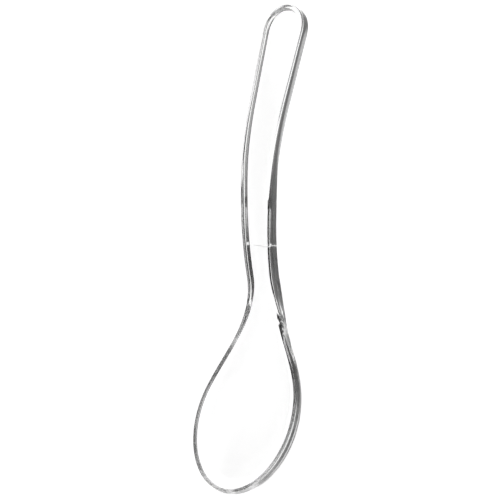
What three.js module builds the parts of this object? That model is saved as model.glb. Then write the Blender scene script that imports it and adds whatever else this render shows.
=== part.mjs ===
// Salad serving spoon: one clear plastic moulding, in millimetres, +Z up.
// It lies as on a table, on the heel of its bowl and the end of its handle.
// +X runs from the bowl to the handle, and the spoon is symmetric about the XZ plane.
import * as THREE from 'three';
import { mergeVertices } from 'three/addons/utils/BufferGeometryUtils.js';

// Side line: the top edge seen from the side, straight rim, rising arc, falling arc, straight grip
const EDGE_LENGTH = 300;
const RIM_STRAIGHT = 61;
const RISE_RADIUS = 98;
const RISE_ANGLE = THREE.MathUtils.degToRad(40.5);
const FALL_RADIUS = 180;
const GRIP_ANGLE = THREE.MathUtils.degToRad(6);

// Plan outline, measured along the top edge from the tip of the bowl
const BOWL_WIDEST_AT = 45.7;
const BOWL_HALF_WIDTH = 34.9;
const BOWL_SHOULDER = 34;
const NECK_AT = 132;
const NECK_HALF_WIDTH = 9.4;
const NECK_EASE = 38;
const GRIP_HALF_WIDTH = 15;
const GRIP_FLARE = 1.2;
const GRIP_END_LENGTH = 17;

// Raised rim that runs all round: thin round the bowl, tallest at the neck, lower toward the end
const BOWL_RIM_WIDTH = 2;
const BOWL_RIM_HEIGHT = 2.5;
const GRIP_RIM_WIDTH = 3;
const NECK_RIM_HEIGHT = 9.8;
const GRIP_RIM_HEIGHT = 7.1;
const RIM_FADE_START = 97;
const RIM_FADE_END = 113;
const WALL_RISE_START = 45;
const WALL_RISE_END = 125;
const TAPER_START = 145;
const TAPER_END = 205;
const RIM_CROWN = 0.05;
const RIM_DRAFT = 0.14;
const INNER_ROUND = 0.6;
const OUTER_ROUND = 1.2;
const FOOT_ROUND = 1.2;
const ROUND_MOST = 0.48;

// Hollow: a deep bowl that runs out into a shallow flat recess along the grip
const BOWL_DEPTH = 20;
const BOWL_RUN_OUT = 125;
const BOWL_CURVE = 2;
const BOWL_FULLNESS = 1.6;
const RECESS_DEPTH = 2.8;
const FLANK_WIDTH = 1.05;

// Outside of the bowl under its rim, and the crowned underside of the grip
const BOWL_FLOOR = 3.2;
const BELLY_RUN_OUT = 132;
const BELLY_CURVE = 2.2;
const BELLY_FULLNESS = 1.8;
const UNDERSIDE_CROWN = 2.2;

// Bare flat pad on the underside, wedge-shaped, with bevelled sides and a gentle slope to the grip
const PAD_START = 153;
const PAD_LENGTH = 24;
const PAD_INSET = 2.3;
const PAD_THIN_END = 0.4;
const PAD_THICK_END = 0.95;
const PAD_BOWL_SLOPE = 0.4;
const PAD_GRIP_SLOPE = 6;
const PAD_BEVEL_THIN_END = 0.6;
const PAD_BEVEL_THICK_END = 2.5;

// Facets round each stretch of the outline and across each section
const TIP_STEPS = 14;
const SHOULDER_STEPS = 18;
const GRIP_STEPS = 22;
const GRIP_END_STEPS = 8;
const HOLLOW_STEPS = 11;
const UNDERSIDE_STEPS = 10;
const ROUND_STEPS = 3;
const STEP_GROWTH = 1.6;

const { lerp, clamp, smoothstep } = THREE.MathUtils;
const GRIP_END_AT = EDGE_LENGTH - GRIP_END_LENGTH;
const PAD_END = PAD_START + PAD_LENGTH;

// Place and slope of the top edge at a distance along it
function sidePoint(along) {
  const riseLength = RISE_RADIUS * RISE_ANGLE;
  const fallLength = FALL_RADIUS * (RISE_ANGLE - GRIP_ANGLE);
  const straight = Math.min(along, RIM_STRAIGHT);
  const rise = clamp(along - RIM_STRAIGHT, 0, riseLength) / RISE_RADIUS;
  const fallen = clamp(along - RIM_STRAIGHT - riseLength, 0, fallLength) / FALL_RADIUS;
  const grip = Math.max(along - RIM_STRAIGHT - riseLength - fallLength, 0);
  const slope = rise - fallen;
  const fallX = FALL_RADIUS * (Math.sin(rise) - Math.sin(slope));
  const fallZ = FALL_RADIUS * (Math.cos(slope) - Math.cos(rise));
  return {
    x: straight + RISE_RADIUS * Math.sin(rise) + fallX + grip * Math.cos(slope),
    z: RISE_RADIUS * (1 - Math.cos(rise)) + fallZ + grip * Math.sin(slope),
    slope,
  };
}

// Bends a point (along, across, height) from the flat plan onto the side line
function place(point) {
  const { x, z, slope } = sidePoint(point.x);
  return new THREE.Vector3(x - point.z * Math.sin(slope), point.y, z + point.z * Math.cos(slope));
}

function gripHalfWidth(along) {
  const share = (along - NECK_AT) / (EDGE_LENGTH - NECK_AT);
  return NECK_HALF_WIDTH + (GRIP_HALF_WIDTH - NECK_HALF_WIDTH) * share ** GRIP_FLARE;
}

// One side of the plan outline, from the tip of the bowl to the end of the handle
function sideOutline() {
  const points = [];
  for (let i = 0; i < TIP_STEPS; i++) {
    const turn = (i / TIP_STEPS) * Math.PI / 2;
    points.push(new THREE.Vector2(BOWL_WIDEST_AT * (1 - Math.cos(turn)), BOWL_HALF_WIDTH * Math.sin(turn)));
  }
  const shoulder = new THREE.CubicBezierCurve(
    new THREE.Vector2(BOWL_WIDEST_AT, BOWL_HALF_WIDTH),
    new THREE.Vector2(BOWL_WIDEST_AT + BOWL_SHOULDER, BOWL_HALF_WIDTH),
    new THREE.Vector2(NECK_AT - NECK_EASE, NECK_HALF_WIDTH),
    new THREE.Vector2(NECK_AT, NECK_HALF_WIDTH),
  );
  points.push(...shoulder.getPoints(SHOULDER_STEPS));
  for (const along of gripStations()) points.push(new THREE.Vector2(along, gripHalfWidth(along)));
  for (let i = 0; i <= GRIP_END_STEPS; i++) {
    const turn = (i / GRIP_END_STEPS) * Math.PI / 2;
    const along = GRIP_END_AT + GRIP_END_LENGTH * Math.sin(turn);
    points.push(new THREE.Vector2(along, gripHalfWidth(along) * Math.cos(turn)));
  }
  return points;
}

// Even stations along the grip, with the pad's four edges in place of the stations that crowd them
function gripStations() {
  const step = (GRIP_END_AT - NECK_AT) / GRIP_STEPS;
  const padEdges = [PAD_START, PAD_START + PAD_BOWL_SLOPE, PAD_END - PAD_GRIP_SLOPE, PAD_END];
  const stations = [];
  for (let i = 1; i < GRIP_STEPS; i++) {
    const along = NECK_AT + i * step;
    if (padEdges.every((edge) => Math.abs(edge - along) > step / 3)) stations.push(along);
  }
  return [...stations, ...padEdges].sort((a, b) => a - b);
}

// Inward normals of the outline, square to its neighbours; the two ends lie on the middle line
function inwardNormals(outline) {
  return outline.map((point, i) => {
    if (i === 0) return new THREE.Vector2(1, 0);
    if (i === outline.length - 1) return new THREE.Vector2(-1, 0);
    const run = outline[i + 1].clone().sub(outline[i - 1]).normalize();
    return new THREE.Vector2(run.y, -run.x);
  });
}

// How much of a depth is left at a distance along the edge: all in the bowl, none past its run-out
function bowlShare(along, runOut) {
  const share = clamp((along - BOWL_WIDEST_AT) / (runOut - BOWL_WIDEST_AT), 0, 1);
  return (1 + Math.cos(Math.PI * share)) / 2;
}

// How the inside and the outside of the bowl fall from rim to middle
const wallFall = (inward) => (1 - (1 - inward) ** BOWL_CURVE) ** (1 / BOWL_FULLNESS);
const bellyFall = (inward) => (1 - (1 - inward) ** BELLY_CURVE) ** (1 / BELLY_FULLNESS);

// Thickness and side bevel of the pad at a distance along the edge
function padAt(along) {
  const share = clamp((along - PAD_START) / PAD_LENGTH, 0, 1);
  const rampIn = clamp((along - PAD_START) / PAD_BOWL_SLOPE, 0, 1);
  const rampOut = clamp((PAD_END - along) / PAD_GRIP_SLOPE, 0, 1);
  return {
    thickness: lerp(PAD_THIN_END, PAD_THICK_END, share) * Math.min(rampIn, rampOut),
    bevel: lerp(PAD_BEVEL_THIN_END, PAD_BEVEL_THICK_END, share),
  };
}

// A corner as an arc that leaves its two sides at a reach from the corner
function rounded(before, corner, after, reach) {
  const near = before.clone().sub(corner).normalize();
  const far = after.clone().sub(corner).normalize();
  const pull = Math.sin(near.angleTo(far) / 2);
  const arc = [];
  for (let i = 0; i <= ROUND_STEPS; i++) {
    const share = i / ROUND_STEPS;
    const [start, end] = [(1 - share) ** 2, share ** 2];
    const whole = start + end + 2 * share * (1 - share) * pull;
    const toward = near.clone().multiplyScalar(start).addScaledVector(far, end);
    arc.push(corner.clone().addScaledVector(toward, reach / whole));
  }
  return arc;
}

// Insets from the rim to the middle, in steps that grow on the way
function insetsTo(start, end, steps) {
  return Array.from({ length: steps + 1 }, (_, i) => lerp(start, end, (i / steps) ** STEP_GROWTH));
}

// Section along one spoke, from the middle of the top, over the rim, to the middle of the underside
function spokeSection(edgePlan, normal, side) {
  const plan = (inset) => edgePlan.clone().addScaledVector(normal, inset);
  const raise = (point, height) => new THREE.Vector3(point.x, point.y, height);
  const grip = smoothstep(edgePlan.x, RIM_FADE_START, RIM_FADE_END);
  const rimWidth = lerp(BOWL_RIM_WIDTH, GRIP_RIM_WIDTH, grip);
  const rise = smoothstep(edgePlan.x, WALL_RISE_START, WALL_RISE_END);
  const taper = smoothstep(edgePlan.x, TAPER_START, TAPER_END);
  const rimHeight = lerp(BOWL_RIM_HEIGHT, lerp(NECK_RIM_HEIGHT, GRIP_RIM_HEIGHT, taper), rise);
  const [innerPlan, footPlan] = [plan(rimWidth), plan(RIM_DRAFT)];
  const middle = new THREE.Vector2(clamp(innerPlan.x, BOWL_WIDEST_AT, GRIP_END_AT), 0);

  const hollowReach = innerPlan.distanceTo(middle);
  const flank = smoothstep(middle.x, RIM_FADE_START, RIM_FADE_END);
  const hollowDepth = (BOWL_DEPTH - RECESS_DEPTH) * bowlShare(middle.x, BOWL_RUN_OUT);
  const hollowPoint = (inset) => {
    const fall = wallFall(inset / hollowReach);
    const recess = lerp(fall, Math.min(inset / FLANK_WIDTH, 1), flank);
    const height = RIM_CROWN - (RECESS_DEPTH + RIM_CROWN) * recess - hollowDepth * fall;
    return raise(innerPlan.clone().lerp(middle, inset / hollowReach), height);
  };

  const reach = footPlan.distanceTo(middle);
  const pad = padAt(edgePlan.x);
  const belly = (BOWL_DEPTH + BOWL_FLOOR - rimHeight - UNDERSIDE_CROWN) * bowlShare(middle.x, BELLY_RUN_OUT);
  const undersidePoint = (inset) => {
    const inward = inset / reach;
    const onPad = pad.thickness * clamp((inset - PAD_INSET) / pad.bevel, 0, 1);
    const crown = UNDERSIDE_CROWN * (1 - (1 - inward) ** 2);
    const fall = belly * bellyFall(inward) + crown + onPad;
    return raise(footPlan.clone().lerp(middle, inward), -rimHeight - fall);
  };

  const hollow = insetsTo(FLANK_WIDTH, hollowReach, HOLLOW_STEPS).reverse().map(hollowPoint);
  const inner = raise(innerPlan, RIM_CROWN);
  const edge = raise(edgePlan, 0);
  const foot = raise(footPlan, -rimHeight);
  const padInsets = insetsTo(PAD_INSET + pad.bevel, reach, UNDERSIDE_STEPS);
  const underside = [PAD_INSET, ...padInsets].map(undersidePoint);
  const most = ROUND_MOST * Math.min(rimWidth, rimHeight);
  const section = [
    ...hollow,
    ...rounded(hollow.at(-1), inner, edge, Math.min(INNER_ROUND, most)),
    ...rounded(inner, edge, foot, Math.min(OUTER_ROUND, most)),
    ...rounded(edge, foot, underside[0], Math.min(FOOT_ROUND, most)),
    ...underside,
  ];
  return section.map((point) => place(point.setY(side * point.y)));
}

// Closed skin over the sections, spoke to spoke round the outline
function skin(sections) {
  const count = sections[0].length;
  const index = [];
  for (let i = 0; i < sections.length; i++) {
    const next = (i + 1) % sections.length;
    for (let j = 0; j + 1 < count; j++) {
      const [a, b] = [i * count + j, next * count + j];
      index.push(a, a + 1, b, b, a + 1, b + 1);
    }
  }
  const geometry = new THREE.BufferGeometry().setFromPoints(sections.flat());
  geometry.setIndex(index);
  return withoutSlivers(mergeVertices(geometry, 1e-4));
}

// Drops the triangles that lost a side where the spokes meet on the middle line
function withoutSlivers(geometry) {
  const corners = geometry.index.array;
  const kept = [];
  for (let i = 0; i < corners.length; i += 3) {
    const [a, b, c] = corners.slice(i, i + 3);
    if (a !== b && b !== c && c !== a) kept.push(a, b, c);
  }
  geometry.setIndex(kept);
  return geometry;
}

// Tilt that lays the spoon on its heel and the end of its handle: the lower hull edge under its middle
function restTilt(geometry) {
  const position = geometry.attributes.position;
  const points = [];
  for (let i = 0; i < position.count; i++) {
    points.push(new THREE.Vector2(position.getX(i), position.getZ(i)));
  }
  const middleX = points.reduce((sum, point) => sum + point.x, 0) / points.length;
  points.sort((a, b) => a.x - b.x || a.y - b.y);
  const hull = [];
  for (const point of points) {
    while (hull.length > 1) {
      const [before, last] = hull.slice(-2);
      if (last.clone().sub(before).cross(point.clone().sub(before)) > 0) break;
      hull.pop();
    }
    hull.push(point);
  }
  const end = hull.findIndex((point) => point.x > middleX);
  const edge = hull[end].clone().sub(hull[end - 1]);
  return Math.atan2(edge.y, edge.x);
}

// Lays the spoon down and puts its origin under the middle of its box
function layDown(geometry) {
  geometry.rotateY(restTilt(geometry));
  geometry.computeBoundingBox();
  const { min, max } = geometry.boundingBox;
  return geometry.translate(-(min.x + max.x) / 2, -(min.y + max.y) / 2, -min.z);
}

const outline = sideOutline();
const normals = inwardNormals(outline);
const nearSide = outline.map((edge, i) => spokeSection(edge, normals[i], -1));
const farSide = outline.map((edge, i) => spokeSection(edge, normals[i], 1)).slice(1, -1).reverse();

const clearPlastic = new THREE.MeshStandardMaterial({
  color: 0xf4f6f6,
  roughness: 0.06,
  metalness: 0,
  transparent: true,
  opacity: 0.3,
});
const spoon = new THREE.Mesh(layDown(skin([...nearSide, ...farSide])), clearPlastic);
spoon.name = 'spoon';

const part = new THREE.Group();
part.add(spoon);
export default part;
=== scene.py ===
import math

import bmesh
import bpy
from mathutils import Matrix, Vector


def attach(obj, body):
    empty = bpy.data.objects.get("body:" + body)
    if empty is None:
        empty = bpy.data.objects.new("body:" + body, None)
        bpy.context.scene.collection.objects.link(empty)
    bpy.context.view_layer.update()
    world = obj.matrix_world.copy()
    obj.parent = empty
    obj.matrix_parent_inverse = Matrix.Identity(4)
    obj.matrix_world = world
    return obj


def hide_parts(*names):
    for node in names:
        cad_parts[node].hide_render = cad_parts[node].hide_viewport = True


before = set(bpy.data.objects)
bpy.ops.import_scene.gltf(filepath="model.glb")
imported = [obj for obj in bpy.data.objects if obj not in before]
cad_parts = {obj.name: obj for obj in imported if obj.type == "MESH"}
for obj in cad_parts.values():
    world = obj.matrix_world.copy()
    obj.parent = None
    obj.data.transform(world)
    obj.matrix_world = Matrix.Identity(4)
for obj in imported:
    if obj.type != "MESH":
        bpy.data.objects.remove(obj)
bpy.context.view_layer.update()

MM = 0.001
HALF_TURN = math.pi / 2

# Side line of the top edge, in millimetres: straight rim, rising arc, falling arc, straight grip
EDGE_LENGTH = 300.0
RIM_STRAIGHT = 61.0
RISE_RADIUS = 98.0
RISE_ANGLE = math.radians(40.5)
FALL_RADIUS = 180.0
GRIP_ANGLE = math.radians(6)

# Plan outline, measured along the top edge from the tip of the bowl
BOWL_WIDEST_AT = 45.7
BOWL_HALF_WIDTH = 34.9
BOWL_SHOULDER = 34.0
NECK_AT = 132.0
NECK_HALF_WIDTH = 9.4
NECK_EASE = 38.0
GRIP_HALF_WIDTH = 15.0
GRIP_FLARE = 1.2
GRIP_END_LENGTH = 17.0
GRIP_END_AT = EDGE_LENGTH - GRIP_END_LENGTH

# Raised rim that runs all round, thin at the bowl; the rest of the section as (neck, grip)
BOWL_RIM_WIDTH = 1.8
BOWL_RIM_HEIGHT = 3.6
BOWL_RIM_ROUND = 0.4
BOWL_FOOT_ROUND = 0.7
RIM_WIDTH = 3.8, 2.85
RIM_HEIGHT = 9.0, 7.1
RIM_CROWN = 0.25, 0.02
RIM_DRAFT = 0.55, -0.14
RIM_OUTER_ROUND = 1.8, 1.0
RIM_INNER_ROUND = 0.8, 0.45
RIM_FOOT_ROUND = 1.9, 1.05
RECESS_DEPTH = 2.3, 2.83
FLANK_WIDTH = 0.6, 1.06
ROOT_ROUND = 0.5, 1.3
UNDERSIDE_CROWN = 1.65, 2.29
TAPER_START = 172.0
TAPER_END = 212.0

# Bowl: its hollow and its belly, and where they run out into the neck
BOWL_DEPTH = 20.0
BOWL_FLOOR = 3.2
BOWL_RUN_OUT = 125.0
BELLY_RUN_OUT = 132.0
HOLLOW_CURVE = 2.0
HOLLOW_FULLNESS = 2.2
BELLY_CURVE = 2.2
BELLY_FULLNESS = 1.8
FLANK_FADE_START = 102.0
FLANK_FADE_END = 132.0
WALL_FADE_START = 88.0
WALL_FADE_END = 128.0

# Bare flat pad on the underside, wedge-shaped, with bevelled sides
PAD_START = 150.4
PAD_LENGTH = 30.0
PAD_END = PAD_START + PAD_LENGTH
PAD_INSET = 3.9
PAD_THIN_END = 0.5
PAD_THICK_END = 0.95
PAD_BOWL_SLOPE = 0.3
PAD_GRIP_SLOPE = 6.0
PAD_BEVEL_THIN_END = 0.6
PAD_BEVEL_THICK_END = 2.5

# Fineness of the mesh
TIP_STEPS = 70
SHOULDER_STEPS = 110
GRIP_STEPS = 120
GRIP_END_STEPS = 40
HOLLOW_STEPS = 44
FLANK_STEPS = 14
FOOT_STEPS = 3
BEVEL_STEPS = 4
BELLY_STEPS = 30
CORNER_STEPS = 9
HOLLOW_CROWDING = 1.5
CREASE = 0.08
MERGE_DISTANCE = 0.001 * MM
ROUND_MOST = 0.48
ROOT_LEAD = 0.3

# Camera, from the spoon's near side with the handle turned to the top of the picture
CAMERA_AZIMUTH = math.radians(9.048)
CAMERA_ELEVATION = math.radians(54.11)
CAMERA_ROLL = math.radians(94.122)
CAMERA_DISTANCE = 1.2
CAMERA_FIELD = math.radians(14.356)
CAMERA_AIM = Vector((-2.377, 13.476, 12.281)) * MM

# Studio
FLOOR_RADIUS = 0.9
FLOOR_GLOW = 0.93
FLOOR_SIDES = 96
FLOOR_GAP = 0.1 * MM
PAPER_COLOUR = 0.9, 0.9, 0.9, 1
LIGHT_BOUNCES = 40

# Brightness of the surroundings, by the parts of a direction along X, Y and Z
SOFTBOX_LEVELS = (
    (-1.0, 0.1), (-0.85, 0.3), (-0.6, 0.95), (-0.4, 1.0), (-0.15, 0.45), (0.1, 0.06), (1.0, 0.04),
)
HANDLE_SIDE_SPAN = -0.35, 0.05
HANDLE_SIDE_LEVELS = 0.04, 1.0
COVE_ACROSS = 0.2, 0.6
COVE_ALONG = -0.2, 0.3
COVE_UP = 0.36, 0.58
COVE_LEVEL = 0.4
HORIZON_SPAN = 0.0, 0.06

# Clear plastic: flow waves drawn out along the spoon, and patches dulled by handling
PLASTIC_IOR = 1.56
FLOW_STRETCH = 0.35, 1.0, 1.0
FLOW_SCALE = 70.0
FLOW_DETAIL = 2
FLOW_HEIGHT = 0.02 * MM
HANDLING_SCALE = 160.0
HANDLING_DETAIL = 4
HANDLING_SPAN = 0.35, 0.7
ROUGHNESS_SPAN = 0.005, 0.04
CLEARNESS_SPAN = 0.985, 1.0


def clamp(value, low=0.0, high=1.0):
    return max(low, min(high, value))


def lerp(start, end, share):
    return start + (end - start) * share


def eased(along, start, end):
    """Share of the way from start to end, eased at both ends."""
    share = clamp((along - start) / (end - start))
    return share * share * (3 - 2 * share)


def side_point(along):
    """Place and slope of the top edge at a distance along it."""
    rise_length = RISE_RADIUS * RISE_ANGLE
    fall_length = FALL_RADIUS * (RISE_ANGLE - GRIP_ANGLE)
    rise = clamp(along - RIM_STRAIGHT, 0, rise_length) / RISE_RADIUS
    fallen = clamp(along - RIM_STRAIGHT - rise_length, 0, fall_length) / FALL_RADIUS
    grip = max(along - RIM_STRAIGHT - rise_length - fall_length, 0)
    slope = rise - fallen
    x = min(along, RIM_STRAIGHT) + RISE_RADIUS * math.sin(rise)
    x += FALL_RADIUS * (math.sin(rise) - math.sin(slope)) + grip * math.cos(slope)
    z = RISE_RADIUS * (1 - math.cos(rise))
    z += FALL_RADIUS * (math.cos(slope) - math.cos(rise)) + grip * math.sin(slope)
    return x, z, slope


def place(point):
    """Bends a point (along, across, height) from the flat plan onto the side line."""
    x, z, slope = side_point(point.x)
    return Vector((x - point.z * math.sin(slope), point.y, z + point.z * math.cos(slope)))


def grip_half_width(along):
    share = (along - NECK_AT) / (EDGE_LENGTH - NECK_AT)
    return NECK_HALF_WIDTH + (GRIP_HALF_WIDTH - NECK_HALF_WIDTH) * share ** GRIP_FLARE


def shoulder_point(share):
    """Bezier curve from the widest point of the bowl to the neck."""
    rest = 1 - share
    starts = rest ** 3, 3 * rest ** 2 * share
    ends = 3 * rest * share ** 2, share ** 3
    along = starts[0] * BOWL_WIDEST_AT + starts[1] * (BOWL_WIDEST_AT + BOWL_SHOULDER)
    along += ends[0] * (NECK_AT - NECK_EASE) + ends[1] * NECK_AT
    return Vector((along, sum(starts) * BOWL_HALF_WIDTH + sum(ends) * NECK_HALF_WIDTH, 0))


def grip_stations():
    """Even stations along the grip, with the pad's edges in place of those that crowd them."""
    step = (GRIP_END_AT - NECK_AT) / GRIP_STEPS
    ends = [PAD_START, PAD_START + PAD_BOWL_SLOPE, PAD_END - PAD_GRIP_SLOPE, PAD_END]
    edges = [end + side for end in ends for side in (-CREASE, CREASE)]
    regular = [NECK_AT + i * step for i in range(1, GRIP_STEPS)]
    kept = [along for along in regular if all(abs(edge - along) > step / 3 for edge in edges)]
    return sorted(kept + edges)


def side_outline():
    """One side of the plan outline, from the tip of the bowl to the end of the handle."""
    points = []
    for i in range(TIP_STEPS):
        turn = HALF_TURN * i / TIP_STEPS
        points.append(Vector((BOWL_WIDEST_AT * (1 - math.cos(turn)), BOWL_HALF_WIDTH * math.sin(turn), 0)))
    points += [shoulder_point(i / SHOULDER_STEPS) for i in range(SHOULDER_STEPS + 1)]
    points += [Vector((along, grip_half_width(along), 0)) for along in grip_stations()]
    for i in range(GRIP_END_STEPS + 1):
        turn = HALF_TURN * i / GRIP_END_STEPS
        along = GRIP_END_AT + GRIP_END_LENGTH * math.sin(turn)
        points.append(Vector((along, grip_half_width(along) * math.cos(turn), 0)))
    points[-1].y = 0
    return points


def inward_normals(outline):
    normals = [Vector((1, 0, 0))]
    for before, after in zip(outline, outline[2:]):
        run = (after - before).normalized()
        normals.append(Vector((run.y, -run.x, 0)))
    return normals + [Vector((-1, 0, 0))]


def bowl_share(along, end):
    """How much of the bowl's depth is left: all of it in the bowl, none on the grip."""
    share = clamp((along - BOWL_WIDEST_AT) / (end - BOWL_WIDEST_AT))
    return (1 + math.cos(math.pi * share)) / 2


def flank_share(along):
    """How much of the recess falls at its flank: none in the bowl, all of it on the grip."""
    return eased(along, FLANK_FADE_START, FLANK_FADE_END)


def flank_fall(inset, flank_width, root_round):
    """How far the flank has fallen, easing into the floor of the recess."""
    start, end = flank_width - root_round * ROOT_LEAD, flank_width + root_round
    slope = 1 / flank_width
    if inset <= start:
        return inset * slope
    share = clamp((inset - start) / (end - start))
    return lerp(lerp(start * slope, 1, share), 1, share)


def wall_share(along):
    """How far the outer wall has grown from the bowl to the neck."""
    return eased(along, WALL_FADE_START, WALL_FADE_END)


def taper(along, values):
    """A value of the section on its way from the neck to the grip."""
    return lerp(*values, eased(along, TAPER_START, TAPER_END))


def wall_fall(inward):
    return (1 - (1 - clamp(inward)) ** HOLLOW_CURVE) ** (1 / HOLLOW_FULLNESS)


def belly_fall(inward):
    return (1 - (1 - clamp(inward)) ** BELLY_CURVE) ** (1 / BELLY_FULLNESS)


def pad_at(along):
    """Thickness and side bevel of the pad at a distance along the edge."""
    share = clamp((along - PAD_START) / PAD_LENGTH)
    ramp = min(clamp((along - PAD_START) / PAD_BOWL_SLOPE), clamp((PAD_END - along) / PAD_GRIP_SLOPE))
    thickness = lerp(PAD_THIN_END, PAD_THICK_END, share) * ramp
    return thickness, lerp(PAD_BEVEL_THIN_END, PAD_BEVEL_THICK_END, share)


def rounded(before, corner, after, reach):
    """A corner as an arc that leaves its two sides at a reach from the corner."""
    near, far = (before - corner).normalized(), (after - corner).normalized()
    weight = math.sin(near.angle(far) / 2)
    arc = []
    for i in range(CORNER_STEPS + 1):
        share = i / CORNER_STEPS
        pulls = (1 - share) ** 2, 2 * share * (1 - share) * weight, share ** 2
        mixed = (corner + near * reach) * pulls[0] + corner * pulls[1] + (corner + far * reach) * pulls[2]
        arc.append(mixed / sum(pulls))
    return arc


def even(start, end, steps):
    return [lerp(start, end, i / steps) for i in range(steps + 1)]


def spoke_section(edge, normal):
    """Section from the middle of the top, over the rim, to the middle of the underside."""
    up = Vector((0, 0, 1))
    flank_width, root_round = taper(edge.x, FLANK_WIDTH), taper(edge.x, ROOT_ROUND)
    recess_depth, rim_crown = taper(edge.x, RECESS_DEPTH), taper(edge.x, RIM_CROWN)
    underside_crown = taper(edge.x, UNDERSIDE_CROWN)
    rim_width = lerp(BOWL_RIM_WIDTH, taper(edge.x, RIM_WIDTH), flank_share(edge.x))
    rim_height = lerp(BOWL_RIM_HEIGHT, taper(edge.x, RIM_HEIGHT), wall_share(edge.x))
    rim_inner = edge + normal * rim_width
    middle = Vector((clamp(rim_inner.x, BOWL_WIDEST_AT, GRIP_END_AT), 0, 0))
    bowl, flank = bowl_share(middle.x, BOWL_RUN_OUT), flank_share(middle.x)
    inner_reach = (rim_inner - middle).length

    def hollow_point(inset):
        fall = wall_fall(inset / inner_reach)
        recess = lerp(fall, flank_fall(inset, flank_width, root_round), flank)
        drop = (recess_depth + rim_crown) * recess + (BOWL_DEPTH - recess_depth) * bowl * fall
        return rim_inner.lerp(middle, inset / inner_reach) + up * (rim_crown - drop)

    top = rim_inner + up * rim_crown
    root = flank_width + root_round
    shares = even(0, 1, HOLLOW_STEPS)
    insets = [inner_reach - (inner_reach - root) * (1 - (1 - share) ** HOLLOW_CROWDING) for share in shares]
    insets += even(root, flank_width / 2, FLANK_STEPS)[1:]
    hollow = [hollow_point(inset) for inset in insets]

    most = ROUND_MOST * min(rim_width, rim_height)
    share = wall_share(edge.x)
    foot_round = min(lerp(BOWL_FOOT_ROUND, taper(edge.x, RIM_FOOT_ROUND), share), most)
    inner_round = min(lerp(BOWL_RIM_ROUND, taper(edge.x, RIM_INNER_ROUND), share), most)
    outer_round = min(lerp(BOWL_RIM_ROUND, taper(edge.x, RIM_OUTER_ROUND), share), most)
    foot = edge - normal * taper(edge.x, RIM_DRAFT) - up * rim_height
    reach = (foot - middle + up * rim_height).length
    under_middle = middle - up * rim_height
    pad_thickness, pad_bevel = pad_at(edge.x)
    pad_foot, pad_edge = PAD_INSET, PAD_INSET + pad_bevel
    belly = (BOWL_DEPTH + BOWL_FLOOR - rim_height - underside_crown) * bowl_share(middle.x, BELLY_RUN_OUT)
    insets = even(foot_round + CREASE, pad_foot - CREASE, FOOT_STEPS)
    insets += even(pad_foot + CREASE, pad_edge - CREASE, BEVEL_STEPS)
    insets += even(pad_edge + CREASE, reach, BELLY_STEPS)
    underside = []
    for inset in insets:
        inward = inset / reach
        fall = belly * belly_fall(inward) + underside_crown * (1 - (1 - inward) ** 2)
        fall += pad_thickness * clamp((inset - pad_foot) / (pad_edge - pad_foot))
        underside.append(foot.lerp(under_middle, inward) - up * fall)

    section = hollow
    section += rounded(hollow[-1], top, edge, inner_round)
    section += rounded(top, edge, foot, outer_round)
    section += rounded(edge, foot, underside[0], foot_round)
    return section + underside


def lower_edge_tilt(points):
    """Tilt that lays the spoon on its heel and the end of its handle."""
    middle_x = sum(point.x for point in points) / len(points)
    hull = []
    for point in sorted(points, key=lambda p: (p.x, p.z)):
        while len(hull) > 1:
            run, step = hull[-1] - hull[-2], point - hull[-2]
            if run.x * step.z - run.z * step.x > 0:
                break
            hull.pop()
        hull.append(point)
    end = next(i for i, point in enumerate(hull) if point.x > middle_x)
    edge = hull[end] - hull[end - 1]
    return math.atan2(edge.z, edge.x)


def lay_down(points):
    """Turns the points to the resting spoon, with the origin under the middle of its box."""
    turn = Matrix.Rotation(lower_edge_tilt(points), 3, "Y")
    turned = [turn @ point for point in points]
    low_x, high_x = min(p.x for p in turned), max(p.x for p in turned)
    shift = Vector(((low_x + high_x) / 2, 0, min(p.z for p in turned)))
    return [(point - shift) * MM for point in turned]


def make_spoon(material):
    """Skins the sections of both sides into one closed mesh."""
    outline = side_outline()
    near = [spoke_section(edge, normal) for edge, normal in zip(outline, inward_normals(outline))]
    far = [[Vector((p.x, -p.y, p.z)) for p in section] for section in near[-2:0:-1]]
    sections = near + far
    count = len(near[0])
    points = lay_down([place(Vector((p.x, -p.y, p.z))) for section in sections for p in section])
    faces = []
    for i in range(len(sections)):
        here, there = i * count, (i + 1) % len(sections) * count
        faces += [(here + j, here + j + 1, there + j + 1, there + j) for j in range(count - 1)]
    mesh = bpy.data.meshes.new("spoon_skin")
    mesh.from_pydata(points, [], faces)
    skin = bmesh.new()
    skin.from_mesh(mesh)
    bmesh.ops.remove_doubles(skin, verts=skin.verts, dist=MERGE_DISTANCE)
    bmesh.ops.recalc_face_normals(skin, faces=skin.faces)
    for face in skin.faces:
        face.smooth = True
    skin.to_mesh(mesh)
    skin.free()
    mesh.materials.append(material)
    spoon = bpy.data.objects.new("clear_spoon", mesh)
    bpy.context.collection.objects.link(spoon)
    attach(spoon, "root")
    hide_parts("spoon")


def new_material(name):
    material = bpy.data.materials.new(name)
    material.use_nodes = True
    return material, material.node_tree.nodes, material.node_tree.links


def map_range(nodes, links, value, span, levels):
    node = nodes.new("ShaderNodeMapRange")
    node.interpolation_type = "SMOOTHSTEP"
    node.inputs["From Min"].default_value, node.inputs["From Max"].default_value = span
    node.inputs["To Min"].default_value, node.inputs["To Max"].default_value = levels
    links.new(value, node.inputs["Value"])
    return node.outputs["Result"]


def combine(nodes, links, operation, first, second):
    node = nodes.new("ShaderNodeMath")
    node.operation = operation
    links.new(first, node.inputs[0])
    links.new(second, node.inputs[1])
    return node.outputs[0]


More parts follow.
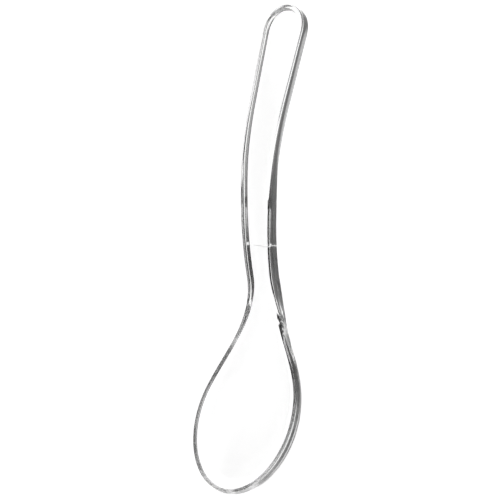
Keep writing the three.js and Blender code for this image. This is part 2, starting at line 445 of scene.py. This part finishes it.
def clear_plastic():
    """Polished clear moulding, with the faint flow waves and dulled patches of a mould."""
    material, nodes, links = new_material("clear_plastic")
    shader = nodes["Principled BSDF"]
    shader.inputs["Transmission Weight"].default_value = 1
    shader.inputs["IOR"].default_value = PLASTIC_IOR

    places = nodes.new("ShaderNodeTexCoord")
    along = nodes.new("ShaderNodeMapping")
    along.inputs["Scale"].default_value = FLOW_STRETCH
    links.new(places.outputs["Object"], along.inputs["Vector"])
    flow = nodes.new("ShaderNodeTexNoise")
    flow.inputs["Scale"].default_value = FLOW_SCALE
    flow.inputs["Detail"].default_value = FLOW_DETAIL
    links.new(along.outputs["Vector"], flow.inputs["Vector"])
    waves = nodes.new("ShaderNodeBump")
    waves.inputs["Distance"].default_value = FLOW_HEIGHT
    links.new(flow.outputs["Fac"], waves.inputs["Height"])
    links.new(waves.outputs["Normal"], shader.inputs["Normal"])

    handling = nodes.new("ShaderNodeTexNoise")
    handling.inputs["Scale"].default_value = HANDLING_SCALE
    handling.inputs["Detail"].default_value = HANDLING_DETAIL
    links.new(places.outputs["Object"], handling.inputs["Vector"])
    dulled = map_range(nodes, links, handling.outputs["Fac"], HANDLING_SPAN, ROUGHNESS_SPAN)
    links.new(dulled, shader.inputs["Roughness"])

    tint = nodes.new("ShaderNodeValToRGB")
    for stop, level in zip(tint.color_ramp.elements, CLEARNESS_SPAN):
        stop.color = (level, level, level, 1)
    links.new(flow.outputs["Fac"], tint.inputs["Fac"])
    links.new(tint.outputs["Color"], shader.inputs["Base Color"])
    return material


def floor_material():
    """White sweep: its glow shows to the lens, in gloss and through the plastic, and it keeps shadows."""
    material, nodes, links = new_material("white_sweep")
    nodes.remove(nodes["Principled BSDF"])
    paths = nodes.new("ShaderNodeLightPath")
    shown = paths.outputs["Is Camera Ray"]
    for kind in ("Is Glossy Ray", "Is Transmission Ray"):
        shown = combine(nodes, links, "MAXIMUM", shown, paths.outputs[kind])
    glow = nodes.new("ShaderNodeEmission")
    strength = nodes.new("ShaderNodeMath")
    strength.operation = "MULTIPLY"
    strength.inputs[1].default_value = FLOOR_GLOW
    links.new(shown, strength.inputs[0])
    links.new(strength.outputs[0], glow.inputs["Strength"])
    paper = nodes.new("ShaderNodeBsdfDiffuse")
    paper.inputs["Color"].default_value = PAPER_COLOUR
    both = nodes.new("ShaderNodeAddShader")
    links.new(glow.outputs[0], both.inputs[0])
    links.new(paper.outputs[0], both.inputs[1])
    links.new(both.outputs[0], nodes["Material Output"].inputs["Surface"])
    return material


def make_floor():
    """Round white floor, just under the spoon."""
    mesh = bpy.data.meshes.new("sweep")
    turns = [2 * math.pi * i / FLOOR_SIDES for i in range(FLOOR_SIDES)]
    points = [(FLOOR_RADIUS * math.cos(turn), FLOOR_RADIUS * math.sin(turn), -FLOOR_GAP) for turn in turns]
    mesh.from_pydata(points, [], [tuple(range(FLOOR_SIDES))])
    mesh.materials.append(floor_material())
    floor = bpy.data.objects.new("white_sweep", mesh)
    bpy.context.collection.objects.link(floor)


def make_world():
    """White to the lens; else a dim studio, lit overhead on the near side and low beyond the handle."""
    world = bpy.data.worlds.new("studio")
    bpy.context.scene.world = world
    world.use_nodes = True
    nodes, links = world.node_tree.nodes, world.node_tree.links
    background = nodes["Background"]
    direction = nodes.new("ShaderNodeTexCoord")
    split = nodes.new("ShaderNodeSeparateXYZ")
    links.new(direction.outputs["Generated"], split.inputs[0])
    across = nodes.new("ShaderNodeMapRange")
    across.inputs["From Min"].default_value = -1
    links.new(split.outputs["Y"], across.inputs["Value"])
    softbox = nodes.new("ShaderNodeValToRGB")
    softbox.color_ramp.interpolation = "EASE"
    stops = softbox.color_ramp.elements
    while len(stops) < len(SOFTBOX_LEVELS):
        stops.new(0.5)
    for stop, (part, glow) in zip(stops, SOFTBOX_LEVELS):
        stop.position, stop.color = (part + 1) / 2, (glow, glow, glow, 1)
    links.new(across.outputs["Result"], softbox.inputs["Fac"])
    handle_side = map_range(nodes, links, split.outputs["X"], HANDLE_SIDE_SPAN, HANDLE_SIDE_LEVELS)
    upper = combine(nodes, links, "MULTIPLY", softbox.outputs["Color"], handle_side)
    cove = map_range(nodes, links, split.outputs["Z"], COVE_UP, (COVE_LEVEL, 0.0))
    for axis, span in (("Y", COVE_ACROSS), ("X", COVE_ALONG)):
        side = map_range(nodes, links, split.outputs[axis], span, (0.0, 1.0))
        cove = combine(nodes, links, "MULTIPLY", cove, side)
    around = combine(nodes, links, "MAXIMUM", upper, cove)
    height = map_range(nodes, links, split.outputs["Z"], HORIZON_SPAN, (0.0, 1.0))
    level = nodes.new("ShaderNodeMix")
    links.new(height, level.inputs["Factor"])
    level.inputs["A"].default_value = 1.0
    links.new(around, level.inputs["B"])
    paths = nodes.new("ShaderNodeLightPath")
    pick = nodes.new("ShaderNodeMix")
    pick.data_type = "RGBA"
    links.new(paths.outputs["Is Camera Ray"], pick.inputs["Factor"])
    links.new(level.outputs[0], pick.inputs[6])
    pick.inputs[7].default_value = (1, 1, 1, 1)
    links.new(pick.outputs[2], background.inputs["Color"])


def make_camera():
    """Lens at the photograph's viewing angle, turned about its own axis."""
    toward = Vector((
        math.sin(CAMERA_AZIMUTH) * math.cos(CAMERA_ELEVATION),
        -math.cos(CAMERA_AZIMUTH) * math.cos(CAMERA_ELEVATION),
        math.sin(CAMERA_ELEVATION),
    ))
    plain_up = (Vector((0, 0, 1)) - toward * toward.z).normalized()
    plain_right = plain_up.cross(toward)
    up = plain_up * math.cos(CAMERA_ROLL) + plain_right * math.sin(CAMERA_ROLL)
    right = up.cross(toward)
    data = bpy.data.cameras.new("lens")
    data.sensor_fit = "HORIZONTAL"
    data.angle = CAMERA_FIELD
    camera = bpy.data.objects.new("lens", data)
    spot = CAMERA_AIM + toward * CAMERA_DISTANCE
    turn = Matrix((right, up, toward)).transposed().to_4x4()
    camera.matrix_world = Matrix.Translation(spot) @ turn
    bpy.context.collection.objects.link(camera)
    bpy.context.scene.camera = camera


make_spoon(clear_plastic())
make_floor()
make_world()
make_camera()
bpy.context.scene.view_settings.view_transform = "Standard"
for bounces in ("max_bounces", "transmission_bounces", "glossy_bounces"):
    setattr(bpy.context.scene.cycles, bounces, LIGHT_BOUNCES)
